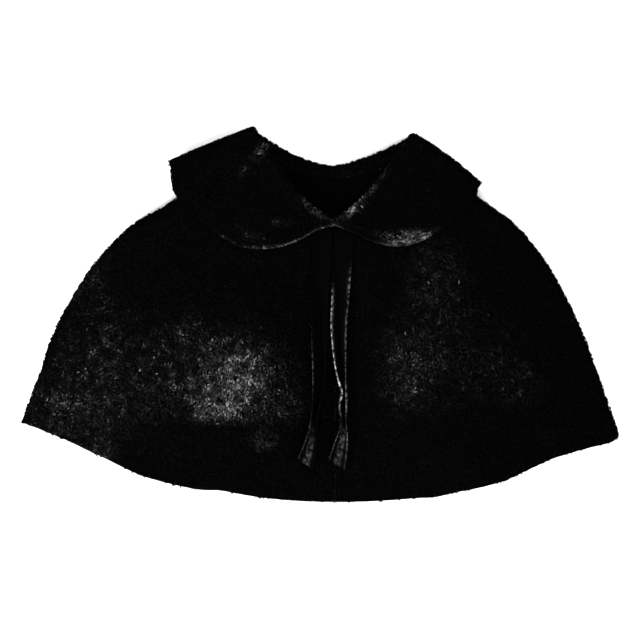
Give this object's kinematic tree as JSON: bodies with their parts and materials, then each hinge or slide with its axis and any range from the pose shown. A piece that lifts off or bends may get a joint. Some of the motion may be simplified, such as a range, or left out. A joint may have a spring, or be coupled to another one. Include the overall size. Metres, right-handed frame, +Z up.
{
  "type": "wool cape",
  "caption": "Short shoulder cape in black napped wool, laid flat on its back, with a wide round turned-over collar and ribbon ties at the neck",
  "frame": {"origin": "on the surface that the cape lies on, under the middle of its plan", "axes": "+X across the cape from its left side to its right as seen from above, +Y from the hem towards the neck, +Z up from the surface"},
  "size_m": [0.5968, 0.3733, 0.027],
  "materials": {
    "wool": "matte napped wool",
    "ribbon": "satin ribbon"
  },
  "bodies": {
    "root": {"back": "wool", "front_left": "wool", "front_right": "wool", "collar": "wool", "tie_left": "ribbon", "tie_right": "ribbon"}
  },
  "joints": []
}
